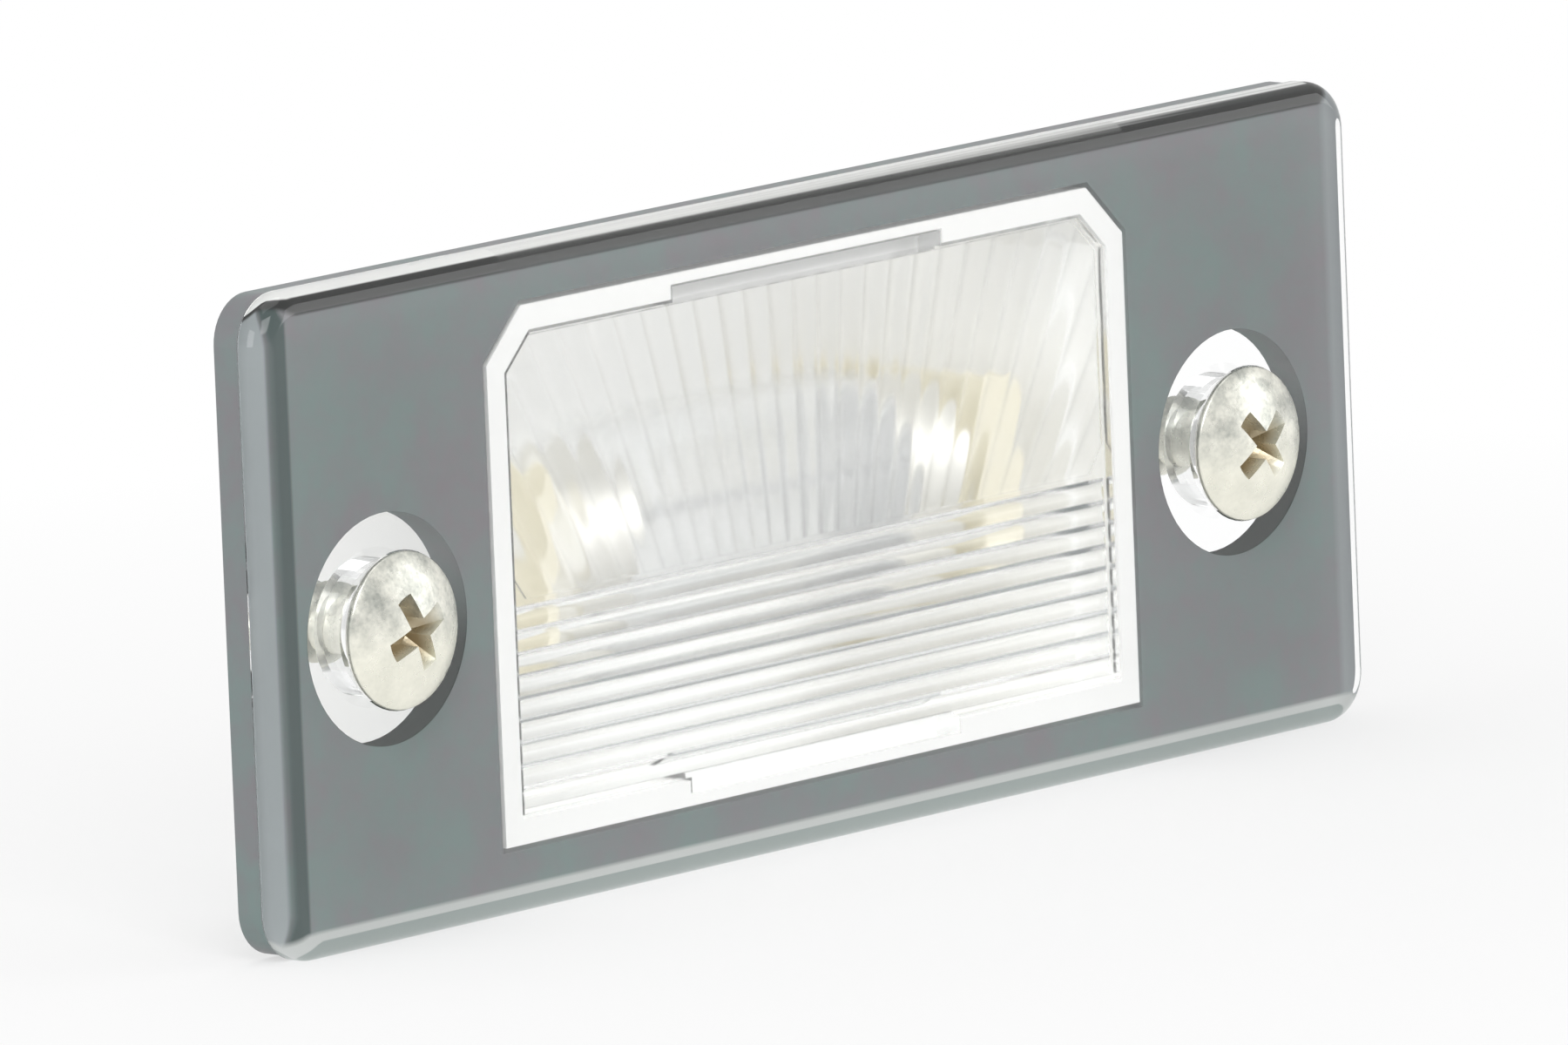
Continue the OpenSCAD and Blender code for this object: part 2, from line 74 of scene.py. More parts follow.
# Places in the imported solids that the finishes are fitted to
SEAL_LOW, SEAL_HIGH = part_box("seal")
HOUSING_LOW, HOUSING_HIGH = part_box("housing")
GLASS_LOW, GLASS_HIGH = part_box("bulb_glass")
BULB_AXIS = (GLASS_LOW + GLASS_HIGH) / 2
HEAD_LOW, HEAD_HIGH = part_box("screw_right")
HEAD_R = (HEAD_HIGH.x - HEAD_LOW.x) / 2
SCREW_X = (HEAD_HIGH.x + HEAD_LOW.x) / 2


class Side(Enum):
    """The two ends of the lamp, with the sign of X there."""

    LEFT = -1
    RIGHT = 1

    def node(self, name: str) -> str:
        """Name of this side's CAD node."""
        return f"{name}_{self.name.lower()}"


# Shader nodes


class NodeTree:
    """Adds and joins shader nodes in one tree."""

    def __init__(self, tree: bpy.types.NodeTree) -> None:
        """Keeps the tree.

        Args:
            tree: The tree that the nodes go into.
        """
        self.tree = tree

    def add(self, kind: str, place: tuple[float, float], **settings: object) -> bpy.types.Node:
        """Adds one node.

        Args:
            kind: The node's type, without its ShaderNode prefix.
            place: Where it stands in the editor.
            **settings: Properties to set on it.

        Returns:
            The new node.
        """
        prefix = "" if kind.startswith("Node") else "ShaderNode"
        node = self.tree.nodes.new(prefix + kind)
        node.location = place
        for name, value in settings.items():
            setattr(node, name, value)
        return node

    def join(self, source: bpy.types.NodeSocket, target: bpy.types.NodeSocket) -> None:
        """Links an output, source, to an input, target."""
        self.tree.links.new(source, target)

    def feed(self, node: bpy.types.Node, *values: object) -> None:
        """Gives a node its inputs in order.

        Args:
            node: The node.
            *values: A socket to link, or a plain value, for each input.
        """
        for target, value in zip(node.inputs, values):
            if isinstance(value, bpy.types.NodeSocket):
                self.join(value, target)
            else:
                target.default_value = value

    def math(self, operation: str, place: tuple[float, float], *values: object,
             clamp: bool = False) -> bpy.types.NodeSocket:
        """Works out a number.

        Args:
            operation: What is worked out.
            place: Where the node stands in the editor.
            *values: A socket or a number for each input.
            clamp: True to hold the result between 0 and 1.

        Returns:
            The result's socket.
        """
        node = self.add("Math", place, operation=operation, use_clamp=clamp)
        self.feed(node, *values)
        return node.outputs["Value"]

    def vector(self, operation: str, place: tuple[float, float],
               *values: object) -> bpy.types.NodeSocket:
        """Works out a vector, or a vector's length.

        Args:
            operation: What is worked out.
            place: Where the node stands in the editor.
            *values: A socket or a vector for each input.

        Returns:
            The result's socket.
        """
        node = self.add("VectorMath", place, operation=operation)
        self.feed(node, *values)
        return node.outputs["Value" if operation == "LENGTH" else "Vector"]

    def here(self, place: tuple[float, float]) -> bpy.types.NodeSocket:
        """Point of the surface in the piece's own coordinates, from a node that stands at place."""
        return self.add("TexCoord", place).outputs["Object"]

    def ramp(self, source: bpy.types.NodeSocket, low: float, high: float,
             place: tuple[float, float], out_low: float = 0.0, out_high: float = 1.0) -> bpy.types.NodeSocket:
        """Maps a value's range to another one, held at its ends.

        Args:
            source: The value.
            low: Where the range starts.
            high: Where it ends.
            place: Where the node stands in the editor.
            out_low: The result at low.
            out_high: The result at high.

        Returns:
            The result's socket.
        """
        node = self.add("MapRange", place, clamp=True)
        ends = {"From Min": low, "From Max": high, "To Min": out_low, "To Max": out_high}
        for name, value in ends.items():
            node.inputs[name].default_value = value
        self.join(source, node.inputs["Value"])
        return node.outputs["Result"]

    def noise(self, scale: float, detail: float, place: tuple[float, float]) -> bpy.types.NodeSocket:
        """Noise on the piece's own coordinates.

        Args:
            scale: Blotches per metre.
            detail: Finer layers on top.
            place: Where the nodes stand in the editor.

        Returns:
            The noise value's socket.
        """
        x, y = place
        noise = self.add("TexNoise", (x, y))
        noise.inputs["Scale"].default_value = scale
        noise.inputs["Detail"].default_value = detail
        self.join(self.here((x - 200, y)), noise.inputs["Vector"])
        return noise.outputs["Fac"]


@dataclass
class Effect:
    """A shader node group that several finishes share.

    Attributes:
        name: The group's name.
        inputs: Name, socket kind and default of each input.
        outputs: Name and socket kind of each output.
        fill: Puts the nodes between the two.
    """

    name: str
    inputs: list[tuple[str, str, object]]
    outputs: list[tuple[str, str]]
    fill: Callable[[NodeTree, bpy.types.Node, bpy.types.Node], None]

    def group(self) -> bpy.types.NodeTree:
        """Builds the group once.

        Returns:
            The node group.
        """
        found = bpy.data.node_groups.get(self.name)
        if found:
            return found
        tree = bpy.data.node_groups.new(self.name, "ShaderNodeTree")
        for name, kind, default in self.inputs:
            socket = tree.interface.new_socket(name, in_out="INPUT", socket_type=kind)
            socket.default_value = default
        for name, kind in self.outputs:
            tree.interface.new_socket(name, in_out="OUTPUT", socket_type=kind)
        nodes = NodeTree(tree)
        start = nodes.add("NodeGroupInput", (-900, 0))
        end = nodes.add("NodeGroupOutput", (900, 0))
        self.fill(nodes, start, end)
        return tree

    def place(self, nodes: NodeTree, place: tuple[float, float], **values: object) -> bpy.types.Node:
        """Places the group in a material.

        Args:
            nodes: The material's nodes.
            place: Where it stands in the editor.
            **values: Its inputs, with _ for a space in a name.

        Returns:
            The group's node.
        """
        node = nodes.add("Group", place, node_tree=self.group())
        for name, value in values.items():
            node.inputs[name.replace("_", " ")].default_value = value
        return node


# Mottle: how fine its two layers of noise are, and the range and share of each
MOTTLE_DETAIL = 3.0
FLECKS_PER_BLOTCH = 6.3
BLOTCH_RANGE = (0.35, 0.65)
BLOTCH_SHARE = 0.7
FLECK_RANGE = (0.4, 0.7)
FLECK_SHARE = 0.3

# Grain: how fine it is, the coarser waves under it, and the height at which the roughness is the mean
GRAIN_DETAIL = 4.0
COARSE_PER_METRE = 240.0
COARSE_SHARE = 0.25
MIDDLE_HEIGHT = 0.6


def fill_mottle(nodes: NodeTree, start: bpy.types.Node, end: bpy.types.Node) -> None:
    """Colour that drifts between two tones in large and small blotches.

    Args:
        nodes: The group's nodes.
        start: The group's inputs.
        end: The group's outputs.
    """
    where = nodes.here((-700, 300))
    blotch = nodes.add("TexNoise", (-400, 200))
    fleck = nodes.add("TexNoise", (-400, -100))
    for noise in (blotch, fleck):
        noise.inputs["Detail"].default_value = MOTTLE_DETAIL
        nodes.join(where, noise.inputs["Vector"])
    finer = nodes.math("MULTIPLY", (-700, -100), start.outputs["Scale"], FLECKS_PER_BLOTCH)
    nodes.join(start.outputs["Scale"], blotch.inputs["Scale"])
    nodes.join(finer, fleck.inputs["Scale"])
    soft = nodes.ramp(blotch.outputs["Fac"], *BLOTCH_RANGE, (-280, 300), 0.0, BLOTCH_SHARE)
    fine = nodes.ramp(fleck.outputs["Fac"], *FLECK_RANGE, (-280, -100), 0.0, FLECK_SHARE)
    both = nodes.math("ADD", (-150, 100), soft, fine)
    mix = nodes.add("Mix", (450, 100), data_type="RGBA")
    share = nodes.math("MULTIPLY", (150, 0), both, start.outputs["Amount"], clamp=True)
    nodes.join(share, mix.inputs["Factor"])
    nodes.join(start.outputs["Colour"], mix.inputs["A"])
    nodes.join(start.outputs["Second Colour"], mix.inputs["B"])
    nodes.join(mix.outputs["Result"], end.inputs["Colour"])


def fill_grain(nodes: NodeTree, start: bpy.types.Node, end: bpy.types.Node) -> None:
    """Fine moulded or rolled grain, stretched along one direction.

    Args:
        nodes: The group's nodes.
        start: The group's inputs.
        end: The group's outputs.
    """
    where = nodes.here((-700, 200))
    fine = nodes.add("TexNoise", (-200, 200))
    fine.inputs["Detail"].default_value = GRAIN_DETAIL
    coarse = nodes.add("TexNoise", (-200, -100))
    coarse.inputs["Scale"].default_value = COARSE_PER_METRE
    nodes.join(nodes.vector("MULTIPLY", (-450, 200), where, start.outputs["Stretch"]), fine.inputs["Vector"])
    nodes.join(where, coarse.inputs["Vector"])
    nodes.join(start.outputs["Scale"], fine.inputs["Scale"])
    height = nodes.math("MULTIPLY_ADD", (100, 100), coarse.outputs["Fac"], COARSE_SHARE, fine.outputs["Fac"])
    nodes.join(height, end.inputs["Height"])
    spread = nodes.math("SUBTRACT", (300, -100), height, MIDDLE_HEIGHT)
    nodes.join(nodes.math("MULTIPLY_ADD", (500, -100), spread, start.outputs["Roughness Spread"],
                          start.outputs["Roughness"]), end.inputs["Roughness"])


MOTTLE = Effect(
    "mottle",
    [("Colour", "NodeSocketColor", (0.5, 0.5, 0.5, 1.0)),
     ("Second Colour", "NodeSocketColor", (0.4, 0.4, 0.4, 1.0)),
     ("Scale", "NodeSocketFloat", 120.0), ("Amount", "NodeSocketFloat", 0.5)],
    [("Colour", "NodeSocketColor")],
    fill_mottle,
)
GRAIN = Effect(
    "grain",
    [("Scale", "NodeSocketFloat", 2000.0), ("Stretch", "NodeSocketVector", (1.0, 1.0, 1.0)),
     ("Roughness", "NodeSocketFloat", 0.4), ("Roughness Spread", "NodeSocketFloat", 0.2)],
    [("Height", "NodeSocketFloat"), ("Roughness", "NodeSocketFloat")],
    fill_grain,
)


def distance_from_axes(nodes: NodeTree, place: bpy.types.NodeSocket,
                       corner: tuple[float, float]) -> bpy.types.NodeSocket:
    """Distance from the nearer of the two screw axes.

    Args:
        nodes: The material's nodes.
        place: The point.
        corner: Where the nodes stand in the editor.

    Returns:
        The distance's socket.
    """
    x, y = corner
    folded = nodes.vector("ABSOLUTE", (x, y), place)
    moved = nodes.vector("SUBTRACT", (x + 200, y), folded, (SCREW_X, 0.0, 0.0))
    flat = nodes.vector("MULTIPLY", (x + 400, y), moved, (1.0, 0.0, 1.0))
    return nodes.vector("LENGTH", (x + 600, y), flat)


def blank_material(name: str) -> tuple[bpy.types.Material, NodeTree]:
    """Makes a material that has no nodes yet.

    Args:
        name: Its name.

    Returns:
        The material, and its nodes.
    """
    material = bpy.data.materials.new(name)
    material.use_nodes = True
    material.node_tree.nodes.clear()
    return material, NodeTree(material.node_tree)


# Finishes


@dataclass(frozen=True)
class SolidFinish:
    """Finish of an opaque piece.

    Attributes:
        name: The material's name.
        colour: Its main colour.
        second: The tone that it drifts to.
        blotch: Blotches per metre.
        amount: How far the second tone comes through.
        roughness: Mean roughness.
        spread: How much the roughness varies.
        grain: Grains per metre.
        stretch: Scale of the grain along X, Y and Z.
        relief: Height of the grain in metres.
        metallic: 1 for bare metal.
        coat: Strength of a clear gloss on top.
        coat_roughness: Roughness of that gloss.
    """

    name: str
    colour: Colour
    second: Colour
    blotch: float = 120.0
    amount: float = 0.5
    roughness: float = 0.4
    spread: float = 0.15
    grain: float = 2500.0
    stretch: Triple = (1.0, 1.0, 1.0)
    relief: float = 4e-6
    metallic: float = 0.0
    coat: float = 0.0
    coat_roughness: float = 0.1

    def material(self) -> bpy.types.Material:
        """Builds the material once.

        Returns:
            The material.
        """
        found = bpy.data.materials.get(self.name)
        if found:
            return found
        material, nodes = blank_material(self.name)
        shader = nodes.add("BsdfPrincipled", (200, 0))
        out = nodes.add("OutputMaterial", (500, 0))
        shader.inputs["Metallic"].default_value = self.metallic
        shader.inputs["Coat Weight"].default_value = self.coat
        shader.inputs["Coat Roughness"].default_value = self.coat_roughness
        mottle = MOTTLE.place(nodes, (-400, 200), Colour=(*self.colour, 1.0),
                              Second_Colour=(*self.second, 1.0), Scale=self.blotch, Amount=self.amount)
        grain = GRAIN.place(nodes, (-400, -150), Scale=self.grain, Stretch=self.stretch,
                            Roughness=self.roughness, Roughness_Spread=self.spread)
        bump = nodes.add("Bump", (-100, -250))
        bump.inputs["Strength"].default_value = 1.0
        bump.inputs["Distance"].default_value = self.relief
        nodes.join(grain.outputs["Roughness"], shader.inputs["Roughness"])
        self.paint(nodes, mottle.outputs["Colour"], shader)
        nodes.join(grain.outputs["Height"], bump.inputs["Height"])
        nodes.join(bump.outputs["Normal"], shader.inputs["Normal"])
        nodes.join(self.surface(nodes, shader), out.inputs["Surface"])
        return material

    def surface(self, nodes: NodeTree, shader: bpy.types.Node) -> bpy.types.NodeSocket:
        """Gives what the surface shows.

        Args:
            nodes: The material's nodes.
            shader: The finish's own shader.

        Returns:
            The shader's socket.
        """
        return shader.outputs["BSDF"]

    def paint(self, nodes: NodeTree, colour: bpy.types.NodeSocket, shader: bpy.types.Node) -> None:
        """Joins the colour to the shader.

        Args:
            nodes: The material's nodes.
            colour: The mottled colour.
            shader: The shader.
        """
        nodes.join(colour, shader.inputs["Base Color"])

    def overlay(self, nodes: NodeTree, mask: bpy.types.NodeSocket, colour: bpy.types.NodeSocket,
                above: Colour) -> bpy.types.NodeSocket:
        """Lays another colour over the first where a mask is 1.

        Args:
            nodes: The material's nodes.
            mask: The mask.
            colour: The colour below.
            above: The colour on top.

        Returns:
            The mixed colour.
        """
        mix = nodes.add("Mix", (0, 350), data_type="RGBA")
        nodes.join(mask, mix.inputs["Factor"])
        nodes.join(colour, mix.inputs["A"])
        mix.inputs["B"].default_value = (*above, 1.0)
        return mix.outputs["Result"]


@dataclass(frozen=True)
class CementedFinish(SolidFinish):
    """Plated cap with the pale cement that holds it on the glass.

    Attributes:
        cement: Colour of the cement.
        bore_r: Radius inside which the cement shows.
        seam: Width over which it turns to metal.
    """

    cement: Colour = (0.97, 0.97, 0.95)
    bore_r: float = 3.95 * MM
    seam: float = 0.05 * MM

    def paint(self, nodes: NodeTree, colour: bpy.types.NodeSocket, shader: bpy.types.Node) -> None:
        """Shows cement instead of metal inside the bore.

        Args:
            nodes: The material's nodes.
            colour: The mottled colour.
            shader: The shader.
        """
        across = nodes.vector("SUBTRACT", (-900, 600), nodes.here((-1100, 600)), BULB_AXIS)
        flat = nodes.vector("MULTIPLY", (-700, 600), across, (0.0, 1.0, 1.0))
        reach = nodes.vector("LENGTH", (-500, 600), flat)
        metal = nodes.ramp(reach, self.bore_r, self.bore_r + self.seam, (-300, 600))
        inside = nodes.math("SUBTRACT", (-100, 600), 1.0, metal)
        nodes.join(nodes.math("MULTIPLY", (100, 750), metal, self.metallic), shader.inputs["Metallic"])
        nodes.join(self.overlay(nodes, inside, colour, self.cement), shader.inputs["Base Color"])


@dataclass(frozen=True)
class TranslucentFinish(SolidFinish):
    """Thin milky plastic, whose walls let part of the lamps' light through.

    Attributes:
        passing: Share of that light that one face lets through.
    """

    passing: float = 0.9

    def surface(self, nodes: NodeTree, shader: bpy.types.Node) -> bpy.types.NodeSocket:
        """Thins the shadow that the plastic casts.

        Args:
            nodes: The material's nodes.
            shader: The finish's own shader.

        Returns:
            The mixed shader's socket.
        """
        rays = nodes.add("LightPath", (100, 500))
        share = nodes.math("MULTIPLY", (300, 400), rays.outputs["Is Shadow Ray"], self.passing)
        clear = nodes.add("BsdfTransparent", (200, -500))
        mix = nodes.add("MixShader", (450, 100))
        nodes.feed(mix, share, shader.outputs["BSDF"], clear.outputs["BSDF"])
        return mix.outputs["Shader"]


class Edge(Enum):
    """The edges of the seal, each with the axis across it and its place on that axis."""

    LEFT = ("X", SEAL_LOW.x)
    RIGHT = ("X", SEAL_HIGH.x)
    BOTTOM = ("Z", SEAL_LOW.z)
    TOP = ("Z", SEAL_HIGH.z)


@dataclass(frozen=True)
class PaintedBand:
    """Straight band along an edge of the seal, in a colour that is painted light: a highlight where it is
    paler than the rubber, shade where it is darker.

    Attributes:
        edge: The edge.
        low: Where the band starts, from the edge and along the axis across it.
        high: Where it ends, in the same way.
        soft: Width over which it fades on each side.
        colour: Its colour.
    """

    edge: Edge
    low: float
    high: float
    soft: float
    colour: Colour


@dataclass(frozen=True)
class EdgedFinish(SolidFinish):
    """Rubber whose front face has painted highlights and painted shade along its edges, where the plate's
    round rim bends the view.

    Attributes:
        painted_band_depth: How deep behind the front face the painted bands still show.
        painted_bands: The bands of painted highlight and painted shade, the last one on top.
        shine: Level of the plain reflection.
        ring_r: Radius within which the ring holes' walls lie.
        painted_wall_shade: Painted shade on those walls, darkest below the screws.
        shade: Heights between which that painted shade fades upwards.
    """

    painted_band_depth: float = 0.05 * MM
    painted_bands: tuple[PaintedBand, ...] = ()
    shine: float = 0.15
    ring_r: float = 5.46 * MM
    painted_wall_shade: Colour = (0.006, 0.016, 0.013)
    shade: tuple[float, float] = (-1.5 * MM, 3.0 * MM)

    def paint(self, nodes: NodeTree, colour: bpy.types.NodeSocket, shader: bpy.types.Node) -> None:
        """Lays the bands of painted highlight and painted shade over the colour one by one, then paints shade
        on the ring holes' walls, darkest below, and makes them matt.

        Args:
            nodes: The material's nodes.
            colour: The mottled colour.
            shader: The shader.
        """
        shader.inputs["Specular IOR Level"].default_value = self.shine
        where = nodes.here((-1500, 600))
        split = nodes.add("SeparateXYZ", (-1300, 600))
        nodes.join(where, split.inputs[0])
        ahead = nodes.math("LESS_THAN", (-1100, 400), split.outputs["Y"], SEAL_LOW.y + self.painted_band_depth)
        # Each band is painted light on the front face: a highlight where it is paler than the rubber, shade
        # where it is darker.
        for row, painted_band in enumerate(self.painted_bands):
            level = 700 + 300 * row
            axis, edge = painted_band.edge.value
            low, high = edge + painted_band.low, edge + painted_band.high
            opens = nodes.ramp(split.outputs[axis], low - painted_band.soft, low, (-900, level))
            closes = nodes.ramp(split.outputs[axis], high, high + painted_band.soft, (-900, level + 150), 1.0, 0.0)
            both = nodes.math("MULTIPLY", (-600, level), opens, closes)
            shown = nodes.math("MULTIPLY", (-400, level), both, ahead)
            colour = self.overlay(nodes, shown, colour, painted_band.colour)
        # Painted shade on the ring holes' walls, darkest below the screws; the walls are also made matt.
        reach = distance_from_axes(nodes, where, (-1100, 0))
        inside = nodes.math("LESS_THAN", (-300, 0), reach, self.ring_r)
        nodes.join(nodes.ramp(inside, 0.0, 1.0, (-100, -50), self.coat, 0.0), shader.inputs["Coat Weight"])
        grained = shader.inputs["Roughness"].links[0].from_socket
        nodes.join(nodes.math("MAXIMUM", (0, -300), grained, inside), shader.inputs["Roughness"])
        low = nodes.ramp(split.outputs["Z"], *self.shade, (-300, -200), 1.0, 0.0)
        shaded = nodes.math("MULTIPLY", (-100, 150), inside, low)
        nodes.join(self.overlay(nodes, shaded, colour, self.painted_wall_shade), shader.inputs["Base Color"])


@dataclass(frozen=True)
class DrivenFinish(SolidFinish):
    """Plated screw with painted shade, dark and tan, in its driver recess, and a head that is paler towards
    the bottom.

    Attributes:
        recess: Colour of the painted shade deep in the recess.
        paler_below: Paler colour that the head's lower half turns to.
        paler_below_share: How far that colour comes through.
        paler_below_fade: Heights between which it fades upwards.
        dome: Height of the head's dome.
        depth: How far behind the head's highest point the recess has ended.
        reach: Radius within which the recess lies.
        deep: Depths below the dome between which the painted shade in the recess sets in.
        recess_shade_fade: Heights between which that painted shade fades upwards.
        recess_shade_least: Share of that painted shade that is left at the top.
    """

    recess: Colour = (0.58, 0.50, 0.36)
    paler_below: Colour = (0.96, 0.945, 0.82)
    paler_below_share: float = 0.75
    paler_below_fade: tuple[float, float] = (-1.2 * MM, 1.0 * MM)
    dome: float = 1.1 * MM
    depth: float = 1.87 * MM
    reach: float = 2.6 * MM
    deep: tuple[float, float] = (0.1 * MM, 0.9 * MM)
    recess_shade_fade: tuple[float, float] = (0.1 * MM, 1.0 * MM)
    recess_shade_least: float = 0.35

    def paint(self, nodes: NodeTree, colour: bpy.types.NodeSocket, shader: bpy.types.Node) -> None:
        """Makes the lower half of the head paler, and paints shade, dark and tan, on what lies below the dome
        near the axis.

        Args:
            nodes: The material's nodes.
            colour: The mottled colour.
            shader: The shader.
        """
        where = nodes.here((-1900, 600))
        split = nodes.add("SeparateXYZ", (-700, 850))
        nodes.join(where, split.inputs[0])
        # The head turns paler towards the bottom.
        low = nodes.ramp(split.outputs["Z"], *self.paler_below_fade, (-500, 1000), self.paler_below_share, 0.0)
        colour = self.overlay(nodes, low, colour, self.paler_below)
        # Painted shade in the driver recess, strongest towards the bottom of the head.
        reach = distance_from_axes(nodes, where, (-1700, 600))
        square = nodes.math("MULTIPLY", (-700, 600), reach, reach)
        dome_d = HEAD_R ** 2 / self.dome + self.dome
        rise = nodes.math("MULTIPLY_ADD", (-500, 600), square, -1.0 / dome_d, -HEAD_LOW.y)
        below = nodes.math("ADD", (-300, 600), rise, split.outputs["Y"])
        near = nodes.math("LESS_THAN", (-300, 850), reach, self.reach)
        ahead = nodes.math("LESS_THAN", (-300, 1050), split.outputs["Y"], HEAD_LOW.y + self.depth)
        within = nodes.math("MULTIPLY", (-100, 950), near, ahead)
        shown = nodes.math("MULTIPLY", (100, 700), nodes.ramp(below, *self.deep, (-300, 350)), within)
        upper = nodes.ramp(split.outputs["Z"], *self.recess_shade_fade, (100, 1000), 1.0, self.recess_shade_least)
        recess_shade = nodes.math("MULTIPLY", (300, 900), shown, upper)
        nodes.join(self.overlay(nodes, recess_shade, colour, self.recess), shader.inputs["Base Color"])


@dataclass(frozen=True)
class ClearFinish:
    """Finish of a clear piece, which lets the lamps' light through.

    Attributes:
        name: The material's name.
        tint: Colour of the light that passes.
        ior: Index of refraction.
        roughness: Mean roughness.
        spread: How much the roughness varies.
        waviness: Height in metres of the moulding's slow waves.
        wave: Waves per metre.
        grain: Grains per metre.
        body: Share of the surface that acts on light, less than 1 for a film of glass.
        clarity: Share of that body that is clear, the rest being a pale bloom.
        haze: Roughness that the window has beyond the rest.
        inset: How far inside the housing's outline that haze starts to fade at each side.
        below: How far below the housing's outline it starts.
        fade: Width over which it fades at the sides and sets in at the foot.
    """

    name: str
    tint: Colour
    ior: float
    roughness: float = 0.02
    spread: float = 0.03
    waviness: float = 2e-6
    wave: float = 160.0
    grain: float = 900.0
    body: float = 1.0
    clarity: float = 1.0
    haze: float = 0.0
    inset: float = 0.5 * MM
    below: float = 0.5 * MM
    fade: float = 0.3 * MM

    def material(self) -> bpy.types.Material:
        """Builds the material once.

        Returns:
            The material.
        """
        found = bpy.data.materials.get(self.name)
        if found:
            return found
        material, nodes = blank_material(self.name)
        shader = nodes.add("BsdfPrincipled", (100, 100))
        clear = nodes.add("BsdfTransparent", (100, -450))
        rays = nodes.add("LightPath", (100, 500))
        mix = nodes.add("MixShader", (450, 0))
        out = nodes.add("OutputMaterial", (700, 0))
        shader.inputs["Transmission Weight"].default_value = self.clarity
        shader.inputs["IOR"].default_value = self.ior
        shader.inputs["Alpha"].default_value = self.body
        shader.inputs["Base Color"].default_value = (*self.tint, 1.0)
        clear.inputs["Color"].default_value = (*self.tint, 1.0)
        grain = GRAIN.place(nodes, (-300, 0), Scale=self.grain, Roughness=self.roughness,
                            Roughness_Spread=self.spread)
        bump = nodes.add("Bump", (-100, -250))
        bump.inputs["Strength"].default_value = 1.0
        bump.inputs["Distance"].default_value = self.waviness
        nodes.join(nodes.noise(self.wave, detail=1.0, place=(-350, -300)), bump.inputs["Height"])
        nodes.join(bump.outputs["Normal"], shader.inputs["Normal"])
        nodes.join(self.hazed(nodes, grain.outputs["Roughness"]), shader.inputs["Roughness"])
        nodes.feed(mix, rays.outputs["Is Shadow Ray"], shader.outputs["BSDF"], clear.outputs["BSDF"])
        nodes.join(mix.outputs["Shader"], out.inputs["Surface"])
        return material

    def hazed(self, nodes: NodeTree, roughness: bpy.types.NodeSocket) -> bpy.types.NodeSocket:
        """Adds the window's haze to the roughness.

        Args:
            nodes: The material's nodes.
            roughness: The roughness without it.

        Returns:
            The socket of the sum.
        """
        split = nodes.add("SeparateXYZ", (-1300, 600))
        nodes.join(nodes.here((-1500, 600)), split.inputs[0])
        aside = nodes.math("ABSOLUTE", (-1100, 700), split.outputs["X"])
        half_width = HOUSING_HIGH.x - self.inset
        foot = HOUSING_LOW.z - self.below
        across = nodes.ramp(aside, half_width, half_width + self.fade, (-900, 700), 1.0, 0.0)
        upwards = nodes.ramp(split.outputs["Z"], foot, foot + self.fade, (-900, 500))
        both = nodes.math("MULTIPLY", (-700, 600), across, upwards)
        return nodes.math("MULTIPLY_ADD", (-500, 600), both, self.haze, roughness)


LENS_PLASTIC = ClearFinish(
    "clear_lens_plastic", tint=(0.996, 1.0, 0.998), ior=1.49, roughness=0.02, spread=0.02,
    waviness=1.5e-6, haze=0.12)
BULB_GLASS = ClearFinish(
    "thin_bulb_glass", tint=(0.99, 0.995, 0.995), ior=1.3, roughness=0.0, spread=0.01,
    waviness=1e-6, wave=300.0, body=0.35, clarity=0.35)
SEAL_RUBBER = EdgedFinish(
    "grey_seal_rubber", colour=(0.177, 0.231, 0.223), second=(0.204, 0.187, 0.203), blotch=230.0,
    amount=0.95, roughness=0.42, spread=0.15, grain=3000.0, relief=4e-6, coat=0.3, coat_roughness=0.3,
    # Painted light along the seal's edges: a paler band and a painted shade line at the left, a paler band at
    # the right, a painted highlight line and a paler band at the bottom, and a painted shade line below a
    # white painted reflection at the top.
    painted_bands=(
        PaintedBand(Edge.LEFT, -2.0 * MM, 1.50 * MM, 0.10 * MM, (0.30, 0.33, 0.34)),
        PaintedBand(Edge.LEFT, 1.73 * MM, 2.20 * MM, 0.20 * MM, (0.055, 0.080, 0.078)),
        PaintedBand(Edge.RIGHT, -0.75 * MM, 2.0 * MM, 0.50 * MM, (0.27, 0.29, 0.30)),
        PaintedBand(Edge.BOTTOM, 0.67 * MM, 0.95 * MM, 0.22 * MM, (0.50, 0.52, 0.51)),
        PaintedBand(Edge.BOTTOM, -2.0 * MM, 0.63 * MM, 0.02 * MM, (0.28, 0.32, 0.31)),
        PaintedBand(Edge.TOP, -0.99 * MM, -0.85 * MM, 0.13 * MM, (0.006, 0.007, 0.006)),
        PaintedBand(Edge.TOP, -0.81 * MM, 2.0 * MM, 0.03 * MM, (0.86, 0.86, 0.84)),
    ))
WHITE_PLASTIC = TranslucentFinish(
    "white_housing_plastic", colour=(0.97, 0.97, 0.96), second=(0.94, 0.94, 0.92), blotch=90.0, amount=0.35,
    roughness=0.33, spread=0.12, grain=1800.0, relief=3e-6)
NICKEL = CementedFinish(
    "nickel_cap", colour=(0.86, 0.85, 0.81), second=(0.76, 0.75, 0.69), blotch=300.0, amount=0.5,
    roughness=0.40, spread=0.2, grain=2500.0, stretch=(0.2, 1.0, 1.0), relief=3e-6, metallic=0.75)
BRASS = SolidFinish(
    "rolled_brass", colour=(0.92, 0.88, 0.74), second=(0.86, 0.81, 0.64), blotch=260.0, amount=0.6,
    roughness=0.42, spread=0.2, grain=3000.0, stretch=(1.0, 1.0, 0.12), relief=3e-6, metallic=0.5)
